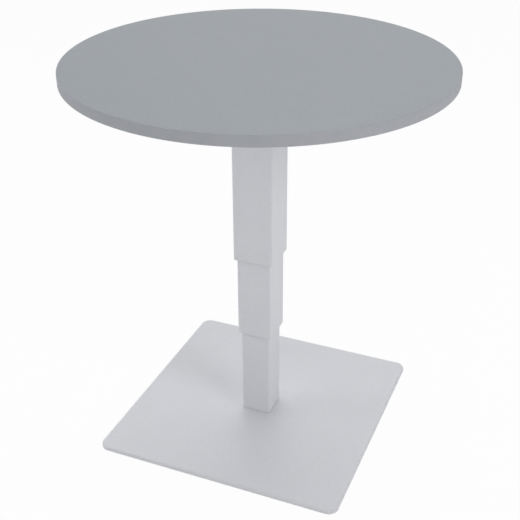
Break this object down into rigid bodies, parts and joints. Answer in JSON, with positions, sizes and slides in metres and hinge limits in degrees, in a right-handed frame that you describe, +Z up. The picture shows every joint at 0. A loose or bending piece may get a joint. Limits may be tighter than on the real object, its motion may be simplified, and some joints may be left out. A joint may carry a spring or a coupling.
{
  "type": "height-adjustable pedestal table",
  "caption": "Round tabletop on a telescoping square column that an electric spindle drive raises and lowers, standing on a flat square steel plate with rounded corners.",
  "frame": {"origin": "on the floor, under the middle of the table", "axes": "+Z up; +X towards the right-hand side, -Y towards the front, the sides of the square base along X and Y"},
  "size_m": [0.7, 0.7, 0.762],
  "materials": {
    "painted_steel": "satin powder coat, light aluminium grey",
    "laminate": "matt grey laminate on particle board",
    "edge_plastic": "matt grey edging",
    "steel": "bright zinc or ground steel",
    "aluminium": "as cast",
    "bronze": "turned bronze",
    "white_plastic": "natural acetal",
    "black_plastic": "fine texture, black",
    "grey_plastic": "fine texture, grey",
    "black_rubber": "matt",
    "felt": "pressed felt",
    "circuit": "green solder resist",
    "magnet": "sintered ferrite",
    "copper": "wound copper on steel laminations"
  },
  "bodies": {
    "base": {"floor_pads": "felt", "base_plate": "painted_steel", "foot_block": "steel", "foot_screws": "steel", "inner_tube": "painted_steel", "inner_head": "aluminium", "lower_nut": "bronze", "inner_glides": "white_plastic"},
    "middle": {"middle_tube": "painted_steel", "middle_head": "aluminium", "upper_nut": "bronze", "head_bearing_outer": "steel", "bearing_circlip": "steel", "middle_glides": "white_plastic", "middle_guide_sleeve": "white_plastic"},
    "top": {"outer_tube": "painted_steel", "outer_guide_sleeve": "white_plastic", "gearbox_lower": "aluminium", "gearbox_upper": "aluminium", "wheel_bearings_outer": "steel", "worm_bushings": "bronze", "gearbox_screws": "steel", "motor_can": "steel", "motor_magnets": "magnet", "motor_end_cap": "black_plastic", "motor_screws": "steel", "column_top_plate": "painted_steel", "support_arm_back_right": "painted_steel", "support_arm_back_left": "painted_steel", "support_arm_front_left": "painted_steel", "support_arm_front_right": "painted_steel", "tabletop_board": "laminate", "edge_band": "edge_plastic", "wood_screws": "steel", "control_box_base": "grey_plastic", "control_box_cover": "grey_plastic", "circuit_board": "circuit", "circuit_parts": "grey_plastic", "mains_inlet": "black_plastic", "handset_housing": "black_plastic", "handset_cover": "black_plastic", "cover_screws": "steel", "handset_board": "circuit", "handset_switches": "black_plastic", "motor_lead": "black_rubber", "handset_lead": "black_rubber", "lead_grommets": "black_rubber", "lead_clips": "white_plastic"},
    "lower_spindle": {"lower_spindle": "steel", "driver_key": "steel", "head_bearing_inner": "steel", "lock_ring": "steel"},
    "upper_spindle": {"upper_spindle": "steel", "worm_wheel": "bronze", "wheel_bearings_inner": "steel"},
    "worm": {"worm": "steel", "motor_shaft": "steel", "rotor": "copper"},
    "up_button": {"up_button": "grey_plastic"},
    "down_button": {"down_button": "grey_plastic"}
  },
  "joints": [
    {"name": "table_lift", "type": "slide", "parent": "base", "child": "top", "axis": [0, 0, 1], "range_m": [-0.32, 0.09]},
    {"name": "middle_stage", "type": "slide", "parent": "base", "child": "middle", "axis": [0, 0, 1], "range_m": [-0.16, 0.045]},
    {"name": "upper_spindle_turn", "type": "hinge", "parent": "top", "child": "upper_spindle", "pos_m": [0, 0, 0.712], "axis": [0, 0, 1], "range_deg": [-9601, 2701]},
    {"name": "lower_spindle_turn", "type": "hinge", "parent": "middle", "child": "lower_spindle", "pos_m": [0, 0, 0.492], "axis": [0, 0, 1], "range_deg": [-9601, 2701]},
    {"name": "worm_turn", "type": "hinge", "parent": "top", "child": "worm", "pos_m": [0, 0.025, 0.712], "axis": [1, 0, 0], "range_deg": [-192010, 54010]},
    {"name": "up_button_press", "type": "slide", "parent": "top", "child": "up_button", "axis": [1, 0, 0], "range_m": [0, 0.0012], "stiffness_N_per_m": 600, "springref_m": -0.0005},
    {"name": "down_button_press", "type": "slide", "parent": "top", "child": "down_button", "axis": [1, 0, 0], "range_m": [0, 0.0012], "stiffness_N_per_m": 600, "springref_m": -0.0005}
  ],
  "couplings": [
    {"joint": "middle_stage", "follows": "table_lift", "ratio": 0.5},
    {"joint": "upper_spindle_turn", "follows": "table_lift", "rad_per_m": 523.6},
    {"joint": "lower_spindle_turn", "follows": "table_lift", "rad_per_m": 523.6},
    {"joint": "worm_turn", "follows": "table_lift", "rad_per_m": 10472}
  ]
}
